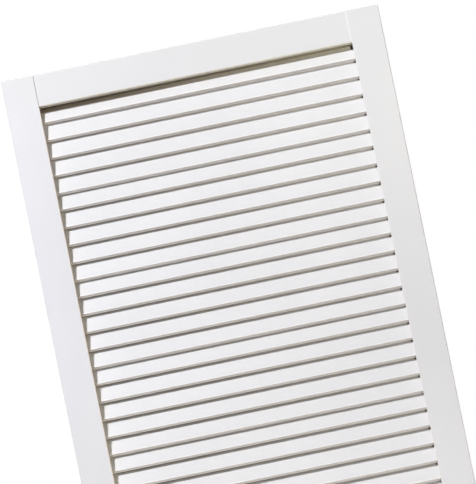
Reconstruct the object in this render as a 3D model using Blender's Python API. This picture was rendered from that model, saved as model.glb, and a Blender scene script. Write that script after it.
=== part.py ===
"""Louvred cabinet door: a painted softwood leaf with fixed sloping slats.

Two stiles run the full height, two rails are dowelled between them, and every slat sits in a
pair of sloping round-ended housings routed in the stiles. The top slat is ripped narrower, so
that it ends just below the top rail.

Metres. X runs across the door, -Y is the front face, +Z is up.
The origin is the middle of the bottom edge.
"""
import math

import bmesh
import bpy
from mathutils import Matrix
from mathutils import Vector

# Leaf
DOOR_WIDTH = 0.533
DOOR_HEIGHT = 0.915
DOOR_THICKNESS = 0.028
STILE_WIDTH = 0.045
TOP_RAIL_HEIGHT = 0.045
BOTTOM_RAIL_HEIGHT = 0.045
LONG_EDGE_RADIUS = 0.001
STILE_END_CHAMFER = 0.0006

# Slats: the slope is the lean from upright, with the lower edge coming forward
SLAT_WIDTH = 0.0264
SLAT_THICKNESS = 0.0064
SLAT_EDGE_RADIUS = 0.0004
SLAT_SLOPE = math.radians(22.0)
SLAT_BACK_WALL = 0.0022
TOP_SLAT_SHOWS = 0.0217
TOP_SLAT_GAP = 0.0012
LAST_SLAT_CLEARANCE = 0.0015

# The housings are routed five at a time, so the gap between gangs differs a little
SLATS_PER_GANG = 5
GAP_IN_GANG = 0.00308
GAP_BETWEEN_GANGS = 0.0024
HOUSING_DEPTH = 0.010

# Corner dowels
DOWEL_DIAMETER = 0.008
DOWEL_LENGTH = 0.040
DOWEL_CHAMFER = 0.001
DOWEL_FLUTES = 12
DOWEL_FLUTE_DEPTH = 0.0003
DOWEL_SPACING = 0.020
DOWEL_END_SPACE = 0.001

# Clearance between pieces that touch on the real door
FIT = 0.0003

# Facets
LONG_EDGE_SEGMENTS = 4
SLAT_EDGE_SEGMENTS = 2
HOUSING_SIDES = 16
DOWEL_HOLE_SIDES = 20

# How nearly a direction must follow an axis to count as along it
ALIGNED = 0.999

# Worked out from the sizes above
FRONT_Y = -DOOR_THICKNESS / 2
OPENING_WIDTH = DOOR_WIDTH - 2 * STILE_WIDTH
RAIL_LENGTH = OPENING_WIDTH - 2 * FIT
TOP_RAIL_UNDERSIDE = DOOR_HEIGHT - TOP_RAIL_HEIGHT
STILE_X = (DOOR_WIDTH - STILE_WIDTH) / 2
HALF_SLAT = SLAT_THICKNESS / 2
SLAT_LENGTH = OPENING_WIDTH + 2 * (HOUSING_DEPTH - FIT)
SLAT_RISE = SLAT_WIDTH * math.cos(SLAT_SLOPE)
SLAT_EDGE_RISE = SLAT_THICKNESS * math.sin(SLAT_SLOPE)
TOP_SLAT_WIDTH = (TOP_SLAT_SHOWS - TOP_SLAT_GAP) / math.cos(SLAT_SLOPE)
SLAT_DEPTH = SLAT_WIDTH * math.sin(SLAT_SLOPE) + SLAT_THICKNESS * math.cos(SLAT_SLOPE)
SLAT_CENTRE_Y = -FRONT_Y - SLAT_BACK_WALL - SLAT_DEPTH / 2
HOUSING_RADIUS = HALF_SLAT + FIT
DOWEL_RADIUS = DOWEL_DIAMETER / 2
DOWEL_HOLE_RADIUS = DOWEL_RADIUS + FIT
DOWEL_HOLE_DEPTH = DOWEL_LENGTH / 2 + DOWEL_END_SPACE


def clear_scene():
    for item in list(bpy.data.objects):
        bpy.data.objects.remove(item, do_unlink=True)


def new_collection(name):
    collection = bpy.data.collections.new(name)
    bpy.context.scene.collection.children.link(collection)
    return collection


def new_material(name, colour, roughness):
    material = bpy.data.materials.new(name)
    material.use_nodes = True
    shader = material.node_tree.nodes["Principled BSDF"]
    shader.inputs["Base Color"].default_value = (*colour, 1.0)
    shader.inputs["Roughness"].default_value = roughness
    shader.inputs["Metallic"].default_value = 0.0
    return material


def object_from_bmesh(name, shape, collection):
    """Turn a bmesh into a named object in a collection."""
    mesh = bpy.data.meshes.new(name)
    shape.to_mesh(mesh)
    shape.free()
    piece = bpy.data.objects.new(name, mesh)
    collection.objects.link(piece)
    return piece


def make_cutter(name, shape):
    cutter = object_from_bmesh(name, shape, cutters)
    cutter.hide_render = True
    cutter.display_type = "WIRE"
    return cutter


def finish_part(piece, material):
    piece.data.materials.append(material)
    piece.parent = door


def edges_along(shape, axis):
    """The edges of an unrotated block that run along one axis (0, 1 or 2)."""
    found = []
    for edge in shape.edges:
        run = edge.verts[1].co - edge.verts[0].co
        if abs(run[axis]) > ALIGNED * run.length:
            found.append(edge)
    return found


def ease_ends(shape, axis, width):
    """Chamfer the rims of the two end faces, which are square to the axis."""
    shape.normal_update()
    ends = [face for face in shape.faces if abs(face.normal[axis]) > ALIGNED]
    rims = {vert for face in ends for vert in face.verts}
    bmesh.ops.inset_individual(shape, faces=ends, thickness=width, use_even_offset=True)
    flats = {vert for face in ends for vert in face.verts}
    for vert in rims - flats:
        vert.co[axis] -= math.copysign(width, vert.co[axis])


def timber(size, long_axis, long_radius, long_segments):
    """A planed length of timber with its long edges rounded over."""
    shape = bmesh.new()
    bmesh.ops.create_cube(shape, size=1.0, matrix=Matrix.Diagonal((*size, 1.0)))
    bmesh.ops.bevel(
        shape,
        geom=edges_along(shape, long_axis),
        offset=long_radius,
        offset_type="OFFSET",
        segments=long_segments,
        profile=0.5,
        affect="EDGES",
    )
    return shape


def cut(piece, cutter):
    modifier = piece.modifiers.new(cutter.name, "BOOLEAN")
    modifier.operation = "DIFFERENCE"
    modifier.solver = "EXACT"
    modifier.object = cutter


def slat_centres():
    """Heights of the slats' centres, from the top down to the last that clears the bottom rail."""
    height = TOP_RAIL_UNDERSIDE - TOP_SLAT_SHOWS + (SLAT_RISE - SLAT_EDGE_RISE) / 2
    lowest = BOTTOM_RAIL_HEIGHT + LAST_SLAT_CLEARANCE + (SLAT_RISE + SLAT_EDGE_RISE) / 2
    centres = []
    while height >= lowest:
        centres.append(height)
        gang_ends = len(centres) % SLATS_PER_GANG == 0
        gap = GAP_BETWEEN_GANGS if gang_ends else GAP_IN_GANG
        height -= (SLAT_THICKNESS + gap) / math.sin(SLAT_SLOPE)
    return centres


def slat_place(height):
    """Where a slat lies: leaned so that its lower edge comes forward."""
    lean = Matrix.Rotation(-SLAT_SLOPE, 4, "X")
    return Matrix.Translation((0.0, SLAT_CENTRE_Y, height)) @ lean


def housing_shape(heights):
    """One round-ended bar for each slat, as long as both its housings reach."""
    shape = bmesh.new()
    flat_radius = HOUSING_RADIUS / math.cos(math.pi / HOUSING_SIDES)
    stretch = SLAT_WIDTH / 2 - SLAT_EDGE_RADIUS
    along_x = Matrix.Rotation(math.pi / 2, 4, "Y")
    half_step = Matrix.Rotation(math.pi / HOUSING_SIDES, 4, "X")
    for height in heights:
        made = bmesh.ops.create_cone(
            shape,
            cap_ends=True,
            segments=HOUSING_SIDES,
            radius1=flat_radius,
            radius2=flat_radius,
            depth=OPENING_WIDTH + 2 * HOUSING_DEPTH,
            matrix=half_step @ along_x,
        )
        for vert in made["verts"]:
            vert.co.z += math.copysign(stretch, vert.co.z)
        bmesh.ops.transform(shape, matrix=slat_place(height), verts=made["verts"])
    return shape


def dowel_places():
    """Centres of the dowels by name: two in each corner joint, on the shoulder line."""
    joints = {}
    rails = {"top": DOOR_HEIGHT - TOP_RAIL_HEIGHT / 2, "bottom": BOTTOM_RAIL_HEIGHT / 2}
    sides = {"left": -OPENING_WIDTH / 2, "right": OPENING_WIDTH / 2}
    for rail, rail_height in rails.items():
        for side, shoulder in sides.items():
            for position, step in (("upper", 0.5), ("lower", -0.5)):
                name = f"dowel_{rail}_{side}_{position}"
                joints[name] = Vector((shoulder, 0.0, rail_height + step * DOWEL_SPACING))
    return joints


def dowel_hole_shape(places):
    shape = bmesh.new()
    flat_radius = DOWEL_HOLE_RADIUS / math.cos(math.pi / DOWEL_HOLE_SIDES)
    for place in places:
        bmesh.ops.create_cone(
            shape,
            cap_ends=True,
            segments=DOWEL_HOLE_SIDES,
            radius1=flat_radius,
            radius2=flat_radius,
            depth=2 * DOWEL_HOLE_DEPTH,
            matrix=Matrix.Translation(place) @ Matrix.Rotation(math.pi / 2, 4, "Y"),
        )
    return shape


def dowel_shape():
    """A fluted dowel along X with chamfered ends."""
    shape = bmesh.new()
    sides = 2 * DOWEL_FLUTES
    bmesh.ops.create_cone(
        shape,
        cap_ends=True,
        segments=sides,
        radius1=DOWEL_RADIUS,
        radius2=DOWEL_RADIUS,
        depth=DOWEL_LENGTH,
        matrix=Matrix.Rotation(math.pi / 2, 4, "Y"),
    )
    ease_ends(shape, 0, DOWEL_CHAMFER)
    for vert in shape.verts:
        radius = math.hypot(vert.co.y, vert.co.z)
        side = round(math.atan2(vert.co.z, vert.co.y) * sides / (2 * math.pi))
        if side % 2 and radius > DOWEL_RADIUS - DOWEL_FLUTE_DEPTH:
            pull = 1.0 - DOWEL_FLUTE_DEPTH / radius
            vert.co.y *= pull
            vert.co.z *= pull
    return shape


def make_stile(name, centre_x):
    size = (STILE_WIDTH, DOOR_THICKNESS, DOOR_HEIGHT)
    shape = timber(size, 2, LONG_EDGE_RADIUS, LONG_EDGE_SEGMENTS)
    ease_ends(shape, 2, STILE_END_CHAMFER)
    stile = object_from_bmesh(name, shape, parts)
    stile.location = (centre_x, 0.0, DOOR_HEIGHT / 2)
    cut(stile, housing_cutter)
    cut(stile, dowel_cutter)
    finish_part(stile, stile_paint)


def make_rail(name, height, centre_z):
    size = (RAIL_LENGTH, DOOR_THICKNESS, height)
    shape = timber(size, 0, LONG_EDGE_RADIUS, LONG_EDGE_SEGMENTS)
    rail = object_from_bmesh(name, shape, parts)
    rail.location = (0.0, 0.0, centre_z)
    cut(rail, dowel_cutter)
    finish_part(rail, rail_paint)


def slat_mesh(name, width):
    """A slat upright and centred, except that a narrower one keeps its lower edge in place."""
    shape = timber((SLAT_LENGTH, SLAT_THICKNESS, width), 0, SLAT_EDGE_RADIUS, SLAT_EDGE_SEGMENTS)
    bmesh.ops.translate(shape, verts=shape.verts, vec=(0.0, 0.0, (width - SLAT_WIDTH) / 2))
    mesh = bpy.data.meshes.new(name)
    shape.to_mesh(mesh)
    shape.free()
    mesh.materials.append(slat_paint)
    return mesh


def make_slats(heights):
    top_slat = slat_mesh("top_slat", TOP_SLAT_WIDTH)
    full_slat = slat_mesh("full_slat", SLAT_WIDTH)
    for number, height in enumerate(heights, start=1):
        slat = bpy.data.objects.new(f"slat_{number:02d}", top_slat if number == 1 else full_slat)
        parts.objects.link(slat)
        slat.parent = door
        slat.matrix_local = slat_place(height)


def make_dowels(places):
    shared = None
    for name, place in places.items():
        if shared is None:
            dowel = object_from_bmesh(name, dowel_shape(), parts)
            finish_part(dowel, beech)
            shared = dowel.data
        else:
            dowel = bpy.data.objects.new(name, shared)
            parts.objects.link(dowel)
            dowel.parent = door
        dowel.location = place


clear_scene()
parts = new_collection("louvred_cabinet_door")
cutters = new_collection("cutters")
door = bpy.data.objects.new("door_origin", None)
parts.objects.link(door)

stile_paint = new_material("stile_paint", (0.84, 0.84, 0.86), 0.42)
rail_paint = new_material("rail_paint", (0.84, 0.84, 0.86), 0.42)
slat_paint = new_material("slat_paint", (0.86, 0.86, 0.88), 0.40)
beech = new_material("beech", (0.58, 0.40, 0.24), 0.65)

slat_heights = slat_centres()
dowels = dowel_places()
housing_cutter = make_cutter("housing_cutter", housing_shape(slat_heights))
dowel_cutter = make_cutter("dowel_cutter", dowel_hole_shape(dowels.values()))

make_stile("left_stile", -STILE_X)
make_stile("right_stile", STILE_X)
make_rail("top_rail", TOP_RAIL_HEIGHT, DOOR_HEIGHT - TOP_RAIL_HEIGHT / 2)
make_rail("bottom_rail", BOTTOM_RAIL_HEIGHT, BOTTOM_RAIL_HEIGHT / 2)
make_slats(slat_heights)
make_dowels(dowels)
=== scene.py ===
import math

import bmesh
import bpy
from mathutils import Matrix, Vector


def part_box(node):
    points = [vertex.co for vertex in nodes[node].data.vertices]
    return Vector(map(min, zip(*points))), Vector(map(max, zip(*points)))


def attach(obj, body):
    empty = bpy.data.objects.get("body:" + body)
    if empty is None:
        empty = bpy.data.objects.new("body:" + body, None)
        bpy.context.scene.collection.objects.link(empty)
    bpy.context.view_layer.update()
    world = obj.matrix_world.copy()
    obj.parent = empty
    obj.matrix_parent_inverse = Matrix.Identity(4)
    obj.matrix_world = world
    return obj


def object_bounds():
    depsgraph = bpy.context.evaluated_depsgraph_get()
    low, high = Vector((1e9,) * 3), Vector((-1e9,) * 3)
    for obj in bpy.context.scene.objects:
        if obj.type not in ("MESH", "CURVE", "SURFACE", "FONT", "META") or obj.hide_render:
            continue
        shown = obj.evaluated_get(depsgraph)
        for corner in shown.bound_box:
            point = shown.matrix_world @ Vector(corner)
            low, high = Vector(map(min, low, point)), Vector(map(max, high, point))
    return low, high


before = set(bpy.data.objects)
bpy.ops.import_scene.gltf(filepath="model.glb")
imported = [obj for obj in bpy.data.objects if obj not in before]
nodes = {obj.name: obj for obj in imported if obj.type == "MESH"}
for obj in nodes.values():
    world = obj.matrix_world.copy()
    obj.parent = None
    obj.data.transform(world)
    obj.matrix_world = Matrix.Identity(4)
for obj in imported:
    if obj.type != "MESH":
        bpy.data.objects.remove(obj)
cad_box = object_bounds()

# Picture: the photo's view, turned about the line of sight, from far away. VIEW_HEIGHT is what the
# picture's height covers at the door.
VIEW_AZIMUTH = math.radians(1.474)
VIEW_ELEVATION = math.radians(-9.3)
VIEW_ROLL = math.radians(11.444)
VIEW_DISTANCE = 26.0
VIEW_CLIP = 4 * VIEW_DISTANCE
VIEW_HEIGHT = 0.66974
AIM = Vector((0.01168, cad_box[0].y, 0.62750))
SENSOR = 36.0

# Light: azimuth and elevation in degrees, then distance, width, height, watts and colour
LIT_POINT = Vector((0.0, 0.0, 0.63))
LIGHTS = {
    "key": (-25.0, 31.0, 3.5, 0.30, 0.15, 114.0, (1.0, 1.0, 1.037)),
    "top_fill": (35.0, 45.0, 3.0, 2.4, 2.4, 15.0, (0.88, 0.98, 1.03)),
    "low_fill": (0.0, -28.0, 1.2, 1.0, 0.2, 0.44, (1.0, 0.98, 0.68)),
    "right_fill": (90.0, 14.0, 2.2, 1.8, 1.8, 14.3, (1.0, 0.90, 0.857)),
    "back_fill": (152.0, 42.0, 1.8, 1.2, 1.2, 39.6, (1.0, 1.0, 1.045)),
}
# Narrow strips close in front of the stiles: place, facing, width, height, watts and colour
STRIPS = {
    "left_strip": ((-0.30, -0.12, 0.64), (0.45, 1.0, 0.0), 0.03, 0.50, 0.040, (0.41, 0.55, 1.0)),
    "right_strip": ((0.255, -0.20, 0.82), (0.0, 1.0, 0.0), 0.03, 0.40, 0.056, (1.0, 0.99, 0.85)),
}
BACKDROP_COLOUR = (1.0, 1.0, 1.0, 1.0)
SURROUND_COLOUR = (1.0, 0.70, 0.39, 1.0)
SURROUND_STRENGTH = 0.057

# Full coats and painted highlights, in linear colour
FRAME_BRIGHT = (0.760, 0.760, 0.763, 1.0)
FRAME_DULL = (0.735, 0.735, 0.738, 1.0)
SLAT_BRIGHT = (0.731, 0.731, 0.735, 1.0)
SLAT_DULL = (0.706, 0.706, 0.710, 1.0)
# Painted highlight: a lighter band beside the right-hand joints
JOINT_HIGHLIGHT = (0.802, 0.802, 0.802, 1.0)
# Painted highlight: a pale line above each slat's lower front arris
ARRIS_HIGHLIGHT = (0.870, 0.870, 0.870, 1.0)

# Painted light and shade: on the edges of the opening, on the slats' lower edges, where slats lap and in
# shut-in places
STILE_EDGE_SHADE = (0.79, 0.68, 0.505, 1.0)
RAIL_UNDERSIDE_SHADE = (0.78, 0.70, 0.59, 1.0)
RAIL_UNDERSIDE_LIGHT = (0.93, 0.90, 0.765, 1.0)
LOWER_EDGE_SHADE_FRONT = (0.750, 0.722, 0.684, 1.0)
LOWER_EDGE_LIGHT_BACK = (0.892, 0.860, 0.815, 1.0)
LAP_SHADE_LIFTED = (0.83, 0.775, 0.705, 1.0)
TOP_LAP_SHADE_LIFTED = (0.92, 0.88, 0.79, 1.0)
SHUT_IN_SHADE_LIFTED = (0.57, 0.51, 0.385, 1.0)
RAIL_SHUT_IN_SHADE_LIFTED = (0.72, 0.65, 0.51, 1.0)

# Bare pine in the housings; painted shade for corners, laps and shut-in places, darker the less light gets
# in; bare beech
BARE_PINE = (0.42, 0.31, 0.20, 1.0)
CORNER_SHADE = (0.20, 0.15, 0.10, 1.0)
LAP_SHADE_DEEP = (0.19, 0.145, 0.097, 1.0)
TOP_LAP_SHADE_DEEP = (0.22, 0.145, 0.085, 1.0)
SHUT_IN_SHADE_DEEP = (0.055, 0.038, 0.02, 1.0)
BEECH_LIGHT = (0.56, 0.38, 0.22, 1.0)
BEECH_DARK = (0.40, 0.25, 0.13, 1.0)

# Painted shade in the louvres: deepest towards the lower left, lifting towards the right and the top.
# The power makes the deep shade of shut-in places lift later.
SHADE_LIFT_ALONG = (1.0, 0.0, 0.35)
SHADE_LIFT_NONE = -0.1
SHADE_LIFT_FULL = 0.5
SHUT_IN_SHADE_POWER = 3.0

# The range that noise mostly stays in, which is spread to its full contrast
NOISE_RANGE = (0.3, 0.7)

# Lacquer: patches of tone, the wood's grain below it and orange peel on it. A scale or stretch is
# in waves per metre, a bump is a strength and a depth.
TONE_SCALE = 6.0
TONE_DETAIL = 2.0
GRAIN_ALONG = 7.0
GRAIN_ACROSS = 420.0
GRAIN_LEVEL = (GRAIN_ALONG, GRAIN_ACROSS, GRAIN_ACROSS)
GRAIN_UPRIGHT = (GRAIN_ACROSS, GRAIN_ACROSS, GRAIN_ALONG)
GRAIN_DETAIL = 4.0
GRAIN_RANGE = (0.25, 0.75)
GRAIN_BUMP = (0.20, 0.0003)
PEEL_SCALE = 850.0
PEEL_DETAIL = 1.0
PEEL_BUMP = (0.10, 0.0002)
LACQUER_ROUGHNESS = (0.50, 0.40)

# Beech dowels: streaks along the dowel with short darker flecks
STREAK_STRETCH = (25.0, 900.0, 900.0)
STREAK_DETAIL = 3.0
STREAK_BUMP = (0.25, 0.0002)
FLECK_STRETCH = (300.0, 2200.0, 2200.0)
FLECK_DETAIL = 1.0
FLECK_RANGE = (0.62, 0.72)
FLECK_STRENGTH = 0.4
BEECH_ROUGHNESS = (0.72, 0.60)

# A slat's section: its slope and thickness, where its back face begins behind its middle, how far
# inside its width its edges begin, and the width of the painted highlight above its lower front arris
SLAT_SLOPE = math.radians(22.0)
SLAT_THICKNESS = 0.0064
BACK_FACE = 0.0026
EDGE_SKIN = 0.0003
ARRIS_HIGHLIGHT_WIDTH = 0.0020

# Painted shade on the laps: where it starts, up the slope from the slat's middle, and over what length it
# fades in
LAP_STARTS = 0.0104
TOP_LAP_STARTS = 0.0043
LAP_FADES = 0.0012

# Deep painted shade: up the slope of the top slat from this far, and under the rail to this far in
# front of that slat's back
TOP_SHUT_IN = 0.0099
RAIL_SHUT_IN = 0.0063

# Painted shade in the corners at the slats' right ends: how far below the lap it starts, how far along
# the slat it reaches, and over what length it fades in
CORNER_DROP = 0.0018
CORNER_WIDTH = 0.0038
TOP_CORNER_DROP = 0.0011
TOP_CORNER_WIDTH = 0.0048
CORNER_FADES = 0.0012

# How far inside its surfaces the frame's outside ends, to tell it from the cut faces
SKIN = 0.0008

# Filler that closes the right-hand shoulder joints: how far below the faces, how thick, how far onto
# the stile, how far from the rail's edges, and the band beside the joint that carries a painted highlight
FILLER_DEPTH = 0.0001
FILLER_THICKNESS = 0.0006
FILLER_LAP = 0.0005
FILLER_END = 0.001
JOINT_HIGHLIGHT_BAND = (-0.0020, 0.0008)

# Floor: a disc with faint patches and grit, solid to a radius, that fades out towards its rim
FLOOR_RADIUS = 1.1
FLOOR_SOLID = 0.55
FLOOR_SIDES = 96
FLOOR_COLOUR = (0.80, 0.79, 0.77, 1.0)
FLOOR_COLOUR_DULL = (0.76, 0.75, 0.73, 1.0)
FLOOR_PATCHES = 3.0
FLOOR_GRIT = 40.0
FLOOR_DETAIL = 3.0
FLOOR_ROUGHNESS = (0.75, 0.90)

# Sockets that have to be picked by number, because their names are shared
MIX_FIRST_COLOUR = 6
MIX_SECOND_COLOUR = 7
MIX_RESULT_COLOUR = 2
FIRST_SHADER = 1
SECOND_SHADER = 2

# The middle of a piece's box in generated coordinates, and the direction along a slat
BOX_MIDDLE = (0.5, 0.5, 0.5)
ALONG_SLAT = (1.0, 0.0, 0.0)

scene = bpy.context.scene


def direction(azimuth, elevation):
    """From the door to a viewer or light: azimuth 0 is straight in front and grows to the right."""
    flat = math.cos(elevation)
    return Vector((math.sin(azimuth) * flat, -math.cos(azimuth) * flat, math.sin(elevation)))


def make_camera():
    towards = direction(VIEW_AZIMUTH, VIEW_ELEVATION)
    data = bpy.data.cameras.new("camera")
    data.sensor_width = SENSOR
    data.lens = SENSOR * VIEW_DISTANCE / VIEW_HEIGHT
    data.clip_end = VIEW_CLIP
    camera = bpy.data.objects.new("camera", data)
    scene.collection.objects.link(camera)
    level = (-towards).to_track_quat("-Z", "Y").to_matrix()
    turned = level @ Matrix.Rotation(-VIEW_ROLL, 3, "Z")
    camera.matrix_world = Matrix.Translation(AIM + towards * VIEW_DISTANCE) @ turned.to_4x4()
    scene.camera = camera


def make_light(name, place, facing, shape, width, height, watts, colour):
    data = bpy.data.lights.new(name, "AREA")
    data.shape = shape
    data.size = width
    data.size_y = height
    data.energy = watts
    data.color = colour
    light = bpy.data.objects.new(name, data)
    light.location = place
    light.rotation_mode = "QUATERNION"
    light.rotation_quaternion = facing.to_track_quat("-Z", "Y")
    light.visible_camera = False
    scene.collection.objects.link(light)


def make_lights():
    for name, (azimuth, elevation, distance, width, height, watts, colour) in LIGHTS.items():
        towards = direction(math.radians(azimuth), math.radians(elevation))
        place = LIT_POINT + towards * distance
        make_light(name, place, -towards, "ELLIPSE", width, height, watts, colour)
    for name, (place, facing, width, height, watts, colour) in STRIPS.items():
        make_light(name, Vector(place), Vector(facing), "RECTANGLE", width, height, watts, colour)


def make_world():
    """A white backdrop for the camera, and a dimmer surround for the light that reaches the door."""
    world = bpy.data.worlds.new("surround")
    world.use_nodes = True
    scene.world = world
    tree = world.node_tree
    soft = tree.nodes["Background"]
    soft.inputs["Color"].default_value = SURROUND_COLOUR
    soft.inputs["Strength"].default_value = SURROUND_STRENGTH
    backdrop = tree.nodes.new("ShaderNodeBackground")
    backdrop.inputs["Color"].default_value = BACKDROP_COLOUR
    paths = tree.nodes.new("ShaderNodeLightPath")
    choose = tree.nodes.new("ShaderNodeMixShader")
    tree.links.new(paths.outputs["Is Camera Ray"], choose.inputs["Fac"])
    tree.links.new(soft.outputs["Background"], choose.inputs[FIRST_SHADER])
    tree.links.new(backdrop.outputs["Background"], choose.inputs[SECOND_SHADER])
    tree.links.new(choose.outputs["Shader"], tree.nodes["World Output"].inputs["Surface"])


class Look:
    """A material with its node tree, and short ways to add nodes to it."""

    def __init__(self, name):
        self.material = bpy.data.materials.new(name)
        self.material.use_nodes = True
        self.tree = self.material.node_tree
        self.shader = self.tree.nodes["Principled BSDF"]
        coordinates = self.tree.nodes.new("ShaderNodeTexCoord")
        self.place = coordinates.outputs["Object"]
        self.box_place = coordinates.outputs["Generated"]

    def feed(self, socket, value):
        """Link a socket to another, or set its value."""
        if isinstance(value, bpy.types.NodeSocket):
            self.tree.links.new(value, socket)
        else:
            socket.default_value = value

    def maths(self, operation, first, second=0.0):
        node = self.tree.nodes.new("ShaderNodeMath")
        node.operation = operation
        self.feed(node.inputs[0], first)
        self.feed(node.inputs[1], second)
        return node.outputs["Value"]

    def both(self, *masks):
        """1 where every mask is 1."""
        joined = masks[0]
        for mask in masks[1:]:
            joined = self.maths("MULTIPLY", joined, mask)
        return joined

    def between(self, value, low, high):
        """1 where a value lies between two bounds."""
        above = self.maths("GREATER_THAN", value, low)
        below = self.maths("LESS_THAN", value, high)
        return self.both(above, below)

    def ramp(self, value, low, high, to_low=0.0, to_high=1.0):
        """A smooth step over a range of the value."""
        node = self.tree.nodes.new("ShaderNodeMapRange")
        node.interpolation_type = "SMOOTHSTEP"
        self.feed(node.inputs["Value"], value)
        self.feed(node.inputs["From Min"], low)
        self.feed(node.inputs["From Max"], high)
        self.feed(node.inputs["To Min"], to_low)
        self.feed(node.inputs["To Max"], to_high)
        return node.outputs["Result"]

    def noise(self, scale, detail, stretch=(1.0, 1.0, 1.0)):
        """Noise in the door's own metres, finer along an axis by its stretch."""
        placed = self.tree.nodes.new("ShaderNodeMapping")
        placed.inputs["Scale"].default_value = stretch
        self.tree.links.new(self.place, placed.inputs["Vector"])
        node = self.tree.nodes.new("ShaderNodeTexNoise")
        node.inputs["Scale"].default_value = scale
        node.inputs["Detail"].default_value = detail
        self.tree.links.new(placed.outputs["Vector"], node.inputs["Vector"])
        return node.outputs["Fac"]

    def mix(self, factor, first, second):
        node = self.tree.nodes.new("ShaderNodeMix")
        node.data_type = "RGBA"
        self.feed(node.inputs["Factor"], factor)
        self.feed(node.inputs[MIX_FIRST_COLOUR], first)
        self.feed(node.inputs[MIX_SECOND_COLOUR], second)
        return node.outputs[MIX_RESULT_COLOUR]

    def bump(self, height, strength, depth, below=None):
        """The normals of a raised pattern, over those of another one below it."""
        node = self.tree.nodes.new("ShaderNodeBump")
        node.inputs["Strength"].default_value = strength
        node.inputs["Distance"].default_value = depth
        self.tree.links.new(height, node.inputs["Height"])
        if below is not None:
            self.tree.links.new(below, node.inputs["Normal"])
        return node.outputs["Normal"]

    def split(self, socket):
        node = self.tree.nodes.new("ShaderNodeSeparateXYZ")
        self.tree.links.new(socket, node.inputs["Vector"])
        return node.outputs["X"], node.outputs["Y"], node.outputs["Z"]

    def vector_maths(self, operation, socket, vector=(0.0, 0.0, 0.0)):
        node = self.tree.nodes.new("ShaderNodeVectorMath")
        node.operation = operation
        self.tree.links.new(socket, node.inputs[0])
        node.inputs[1].default_value = vector
        return node.outputs

    def dot(self, socket, vector):
        return self.vector_maths("DOT_PRODUCT", socket, vector)["Value"]

    def lacquer(self, grain_stretch, bright, dull):
        """Sprayed satin lacquer: the wood's grain shows faintly, under a fine orange peel."""
        tone = self.ramp(self.noise(TONE_SCALE, TONE_DETAIL), *NOISE_RANGE)
        grain = self.noise(1.0, GRAIN_DETAIL, grain_stretch)
        peel = self.noise(PEEL_SCALE, PEEL_DETAIL)
        raised = self.bump(grain, *GRAIN_BUMP)
        self.feed(self.shader.inputs["Normal"], self.bump(peel, *PEEL_BUMP, raised))
        self.feed(self.shader.inputs["Roughness"], self.ramp(grain, *GRAIN_RANGE, *LACQUER_ROUGHNESS))
        return self.mix(tone, bright, dull)

    def shade_lift(self):
        """How far the painted shade lifts at a place in the louvres, from 0 to 1."""
        return self.ramp(self.dot(self.place, SHADE_LIFT_ALONG), SHADE_LIFT_NONE, SHADE_LIFT_FULL)

    def painted_shade_colour(self, lifted, shaded):
        """Painted shade: a colour that darkens from its lifted colour to its shaded one towards the lower
        left.
        """
        return self.mix(self.shade_lift(), shaded, lifted)

    def shut_in_shade_colour(self, lifted):
        """Deep painted shade for shut-in places, which lifts only late towards the right and the top."""
        return self.mix(self.maths("POWER", self.shade_lift(), SHUT_IN_SHADE_POWER), SHUT_IN_SHADE_DEEP, lifted)

    def finish(self, colour):
        self.feed(self.shader.inputs["Base Color"], colour)
        return self.material


def frame_look(name, grain_stretch, lifted_colour, shaded_colour):
    """Lacquer outside; painted light and shade on the edges of the opening, deep painted shade under the
    top rail over the top slat, a painted highlight beside the right-hand joints, bare wood in the housings.
    """
    look = Look(name)
    colour = look.lacquer(grain_stretch, FRAME_BRIGHT, FRAME_DULL)
    x, y, z = look.split(look.place)
    sideways = look.maths("ABSOLUTE", x)
    depth = look.maths("ABSOLUTE", y)
    lowest, highest = cad_box
    half_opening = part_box("right_stile")[0].x
    opening_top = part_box("top_rail")[0].z
    opening_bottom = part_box("bottom_rail")[1].z
    slat_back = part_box("slat_01")[1].y
    in_opening = look.both(
        look.maths("LESS_THAN", sideways, half_opening + SKIN),
        look.between(z, opening_bottom + SKIN, opening_top + SKIN),
    )
    over_top_slat = look.both(
        in_opening,
        look.between(y, slat_back - RAIL_SHUT_IN, slat_back + SKIN),
        look.maths("GREATER_THAN", z, opening_top - SKIN),
    )
    in_stile = look.both(
        look.maths("LESS_THAN", depth, highest.y - SKIN),
        look.between(sideways, half_opening + SKIN, highest.x - SKIN),
        look.between(z, lowest.z + SKIN, highest.z - SKIN),
    )
    # Painted highlight: a lighter band along the right-hand joints, on both faces, outside the opening
    highlighted_joint = look.both(
        look.between(x, half_opening + JOINT_HIGHLIGHT_BAND[0], half_opening + JOINT_HIGHLIGHT_BAND[1]),
        look.maths("SUBTRACT", 1.0, in_opening),
    )
    colour = look.mix(highlighted_joint, colour, JOINT_HIGHLIGHT)
    # Painted light and shade on the edges of the opening, darker towards the lower left
    colour = look.mix(in_opening, colour, look.painted_shade_colour(lifted_colour, shaded_colour))
    # Deep painted shade in the crease under the top rail, over the top slat
    colour = look.mix(over_top_slat, colour, look.shut_in_shade_colour(RAIL_SHUT_IN_SHADE_LIFTED))
    colour = look.mix(in_stile, colour, BARE_PINE)
    return look.finish(colour)


def slat_section(look, slat):
    """Where a place lies on a slat's section, up its slope and through it, and the slat's half width."""
    low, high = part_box(slat)
    size = high - low
    lean = math.sin(SLAT_SLOPE)
    rise = math.cos(SLAT_SLOPE)
    centred = look.vector_maths("SUBTRACT", look.box_place, BOX_MIDDLE)["Vector"]
    across = look.dot(centred, (0.0, size.y * lean, size.z * rise))
    through = look.dot(centred, (0.0, size.y * rise, -size.z * lean))
    return across, through, (size.z - SLAT_THICKNESS * lean) / rise / 2


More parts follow.
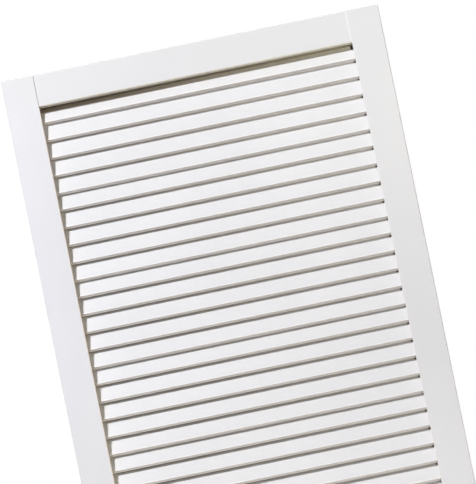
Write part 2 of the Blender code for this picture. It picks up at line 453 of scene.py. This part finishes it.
def slat_look(name, slat, lap_starts, lap_shades, corner, shut_in=None):
    """Lacquer with painted shade on the laps, in a shut-in place and in the right corner, painted light and
    shade on the lower edge, and a painted highlight above the lower front arris.
    """
    look = Look(name)
    colour = look.lacquer(GRAIN_LEVEL, SLAT_BRIGHT, SLAT_DULL)
    across, through, half_width = slat_section(look, slat)
    down = look.maths("MULTIPLY", across, -1.0)
    edge = half_width - EDGE_SKIN
    behind = look.maths("GREATER_THAN", through, BACK_FACE)
    in_front = look.maths("LESS_THAN", through, BACK_FACE)
    # Painted shade where the slat above or below laps over, darker towards the lower left
    lapped_front = look.both(
        in_front,
        look.ramp(across, lap_starts, lap_starts + LAP_FADES),
        look.maths("LESS_THAN", across, edge),
    )
    lapped_back = look.both(behind, look.ramp(down, LAP_STARTS, LAP_STARTS + LAP_FADES))
    lapped = look.maths("MAXIMUM", lapped_front, lapped_back)
    colour = look.mix(lapped, colour, look.painted_shade_colour(*lap_shades))
    # Painted highlight: a pale line on the front face just above the lower front arris
    arris_highlight = look.both(in_front, look.ramp(down, edge - ARRIS_HIGHLIGHT_WIDTH, edge))
    colour = look.mix(arris_highlight, colour, ARRIS_HIGHLIGHT)
    # Painted light and shade on the slat's lower edge: darker at the front, lighter towards the back
    to_back = look.ramp(through, 0.0, SLAT_THICKNESS / 2)
    lower_edge_light_and_shade = look.mix(to_back, LOWER_EDGE_SHADE_FRONT, LOWER_EDGE_LIGHT_BACK)
    colour = look.mix(look.maths("GREATER_THAN", down, edge), colour, lower_edge_light_and_shade)
    # Deep painted shade up the slope of the top slat, where it lies under the rail
    if shut_in is not None:
        hidden = look.maths("GREATER_THAN", across, shut_in)
        colour = look.mix(hidden, colour, look.shut_in_shade_colour(SHUT_IN_SHADE_LIFTED))
    # Painted shade in the corner at the slat's right end, against the right-hand stile
    corner_drop, corner_width, corner_colour = corner
    corner_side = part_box("right_stile")[0].x - corner_width
    corner_foot = lap_starts - corner_drop
    in_corner = look.both(
        in_front,
        look.ramp(look.dot(look.place, ALONG_SLAT), corner_side, corner_side + CORNER_FADES),
        look.ramp(across, corner_foot, corner_foot + CORNER_FADES),
    )
    return look.finish(look.mix(in_corner, colour, corner_colour))


def beech_look():
    """Bare beech: fine streaks along the dowel with short darker flecks."""
    look = Look("bare_beech")
    streaks = look.ramp(look.noise(1.0, STREAK_DETAIL, STREAK_STRETCH), *NOISE_RANGE)
    flecks = look.ramp(look.noise(1.0, FLECK_DETAIL, FLECK_STRETCH), *FLECK_RANGE)
    colour = look.mix(streaks, BEECH_LIGHT, BEECH_DARK)
    colour = look.mix(look.maths("MULTIPLY", flecks, FLECK_STRENGTH), colour, BEECH_DARK)
    look.feed(look.shader.inputs["Normal"], look.bump(streaks, *STREAK_BUMP))
    look.feed(look.shader.inputs["Roughness"], look.ramp(streaks, 0.0, 1.0, *BEECH_ROUGHNESS))
    return look.finish(colour)


def floor_look():
    """A pale matt floor that fades out towards its rim."""
    look = Look("pale_floor")
    far = look.vector_maths("LENGTH", look.place)["Value"]
    patches = look.ramp(look.noise(FLOOR_PATCHES, FLOOR_DETAIL), *NOISE_RANGE)
    grit = look.ramp(look.noise(FLOOR_GRIT, FLOOR_DETAIL), *NOISE_RANGE, *FLOOR_ROUGHNESS)
    look.feed(look.shader.inputs["Alpha"], look.ramp(far, FLOOR_SOLID, FLOOR_RADIUS, 1.0, 0.0))
    look.feed(look.shader.inputs["Roughness"], grit)
    return look.finish(look.mix(patches, FLOOR_COLOUR, FLOOR_COLOUR_DULL))


def add_piece(name, shape, material):
    """Turn a finished shape into an object of the scene."""
    mesh = bpy.data.meshes.new(name)
    shape.to_mesh(mesh)
    shape.free()
    mesh.materials.append(material)
    piece = bpy.data.objects.new(name, mesh)
    scene.collection.objects.link(piece)
    return piece


def add_box(shape, low, high):
    middle = (low + high) / 2
    size = high - low
    placed = Matrix.Translation(middle) @ Matrix.Diagonal(size).to_4x4()
    bmesh.ops.create_cube(shape, size=1.0, matrix=placed)


def make_joint_filler(material):
    """The filler that closes the right-hand shoulder joints at both faces of the door."""
    shape = bmesh.new()
    front, back = cad_box[0].y, cad_box[1].y
    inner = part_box("right_stile")[0].x
    for rail in ("top_rail", "bottom_rail"):
        low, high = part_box(rail)
        for near in (front + FILLER_DEPTH, back - FILLER_DEPTH - FILLER_THICKNESS):
            near_corner = Vector((high.x, near, low.z + FILLER_END))
            far_corner = Vector((inner + FILLER_LAP, near + FILLER_THICKNESS, high.z - FILLER_END))
            add_box(shape, near_corner, far_corner)
    filler = add_piece("joint_filler", shape, material)
    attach(filler, "root")


def make_floor():
    shape = bmesh.new()
    bmesh.ops.create_circle(shape, cap_ends=True, segments=FLOOR_SIDES, radius=FLOOR_RADIUS)
    floor = add_piece("floor", shape, floor_look())


def dress(names, material):
    for name in names:
        slots = nodes[name].data.materials
        slots.clear()
        slots.append(material)


def dress_frame():
    stile_lacquer = frame_look("stile_lacquer", GRAIN_UPRIGHT, FRAME_BRIGHT, STILE_EDGE_SHADE)
    rail_lacquer = frame_look("rail_lacquer", GRAIN_LEVEL, RAIL_UNDERSIDE_LIGHT, RAIL_UNDERSIDE_SHADE)
    dress(("left_stile", "right_stile"), stile_lacquer)
    dress(("top_rail", "bottom_rail"), rail_lacquer)
    make_joint_filler(stile_lacquer)


def dress_slats():
    """The top slat has its own look, because it lies under the rail and not under another slat."""
    top, *others = sorted(name for name in nodes if name.startswith("slat_"))
    # Painted shade for the laps and the right-hand corners, the top slat's in the shadow of the rail
    top_lap_shades = (TOP_LAP_SHADE_LIFTED, TOP_LAP_SHADE_DEEP)
    top_corner = (TOP_CORNER_DROP, TOP_CORNER_WIDTH, SHUT_IN_SHADE_DEEP)
    dress([top], slat_look("top_slat_lacquer", top, TOP_LAP_STARTS, top_lap_shades, top_corner, TOP_SHUT_IN))
    slat_lap_shades = (LAP_SHADE_LIFTED, LAP_SHADE_DEEP)
    corner = (CORNER_DROP, CORNER_WIDTH, CORNER_SHADE)
    dress(others, slat_look("slat_lacquer", others[0], LAP_STARTS, slat_lap_shades, corner))


make_camera()
make_world()
make_lights()
make_floor()
dress_frame()
dress_slats()
dress((name for name in nodes if name.startswith("dowel_")), beech_look())
scene.view_settings.view_transform = "Standard"
